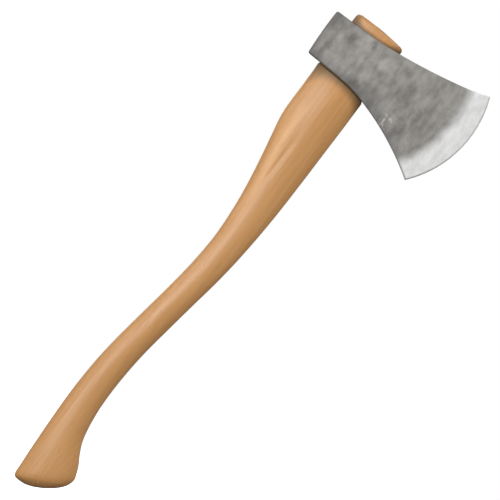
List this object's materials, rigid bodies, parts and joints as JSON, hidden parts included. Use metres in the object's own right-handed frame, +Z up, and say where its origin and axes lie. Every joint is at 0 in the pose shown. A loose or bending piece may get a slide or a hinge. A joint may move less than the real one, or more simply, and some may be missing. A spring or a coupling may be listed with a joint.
{
  "type": "hatchet",
  "caption": "Felling hatchet: a forged head with a broad curved edge and a flat poll, wedged on a long S-curved wooden handle with a flared, slanted foot.",
  "frame": {"origin": "centre of the grip, where a hand holds the handle, 340 mm below the head's underside and 14 mm behind the eye's axis", "axes": "+Z up the handle to the head, +X towards the cutting edge, Y across the head's thickness; the part's left and right halves mirror in the XZ plane"},
  "size_m": [0.1554, 0.027, 0.5002],
  "materials": {
    "forged_steel": "mottled grey forged cheeks with a bright ground bevel",
    "handle_wood": "satin, oiled, fine grain along the handle",
    "wedge_wood": "sawn and sanded flush",
    "ring_steel": "plain"
  },
  "bodies": {
    "root": {"head": "forged_steel", "handle": "handle_wood", "wooden_wedge": "wedge_wood", "ring_wedge": "ring_steel"}
  },
  "joints": []
}
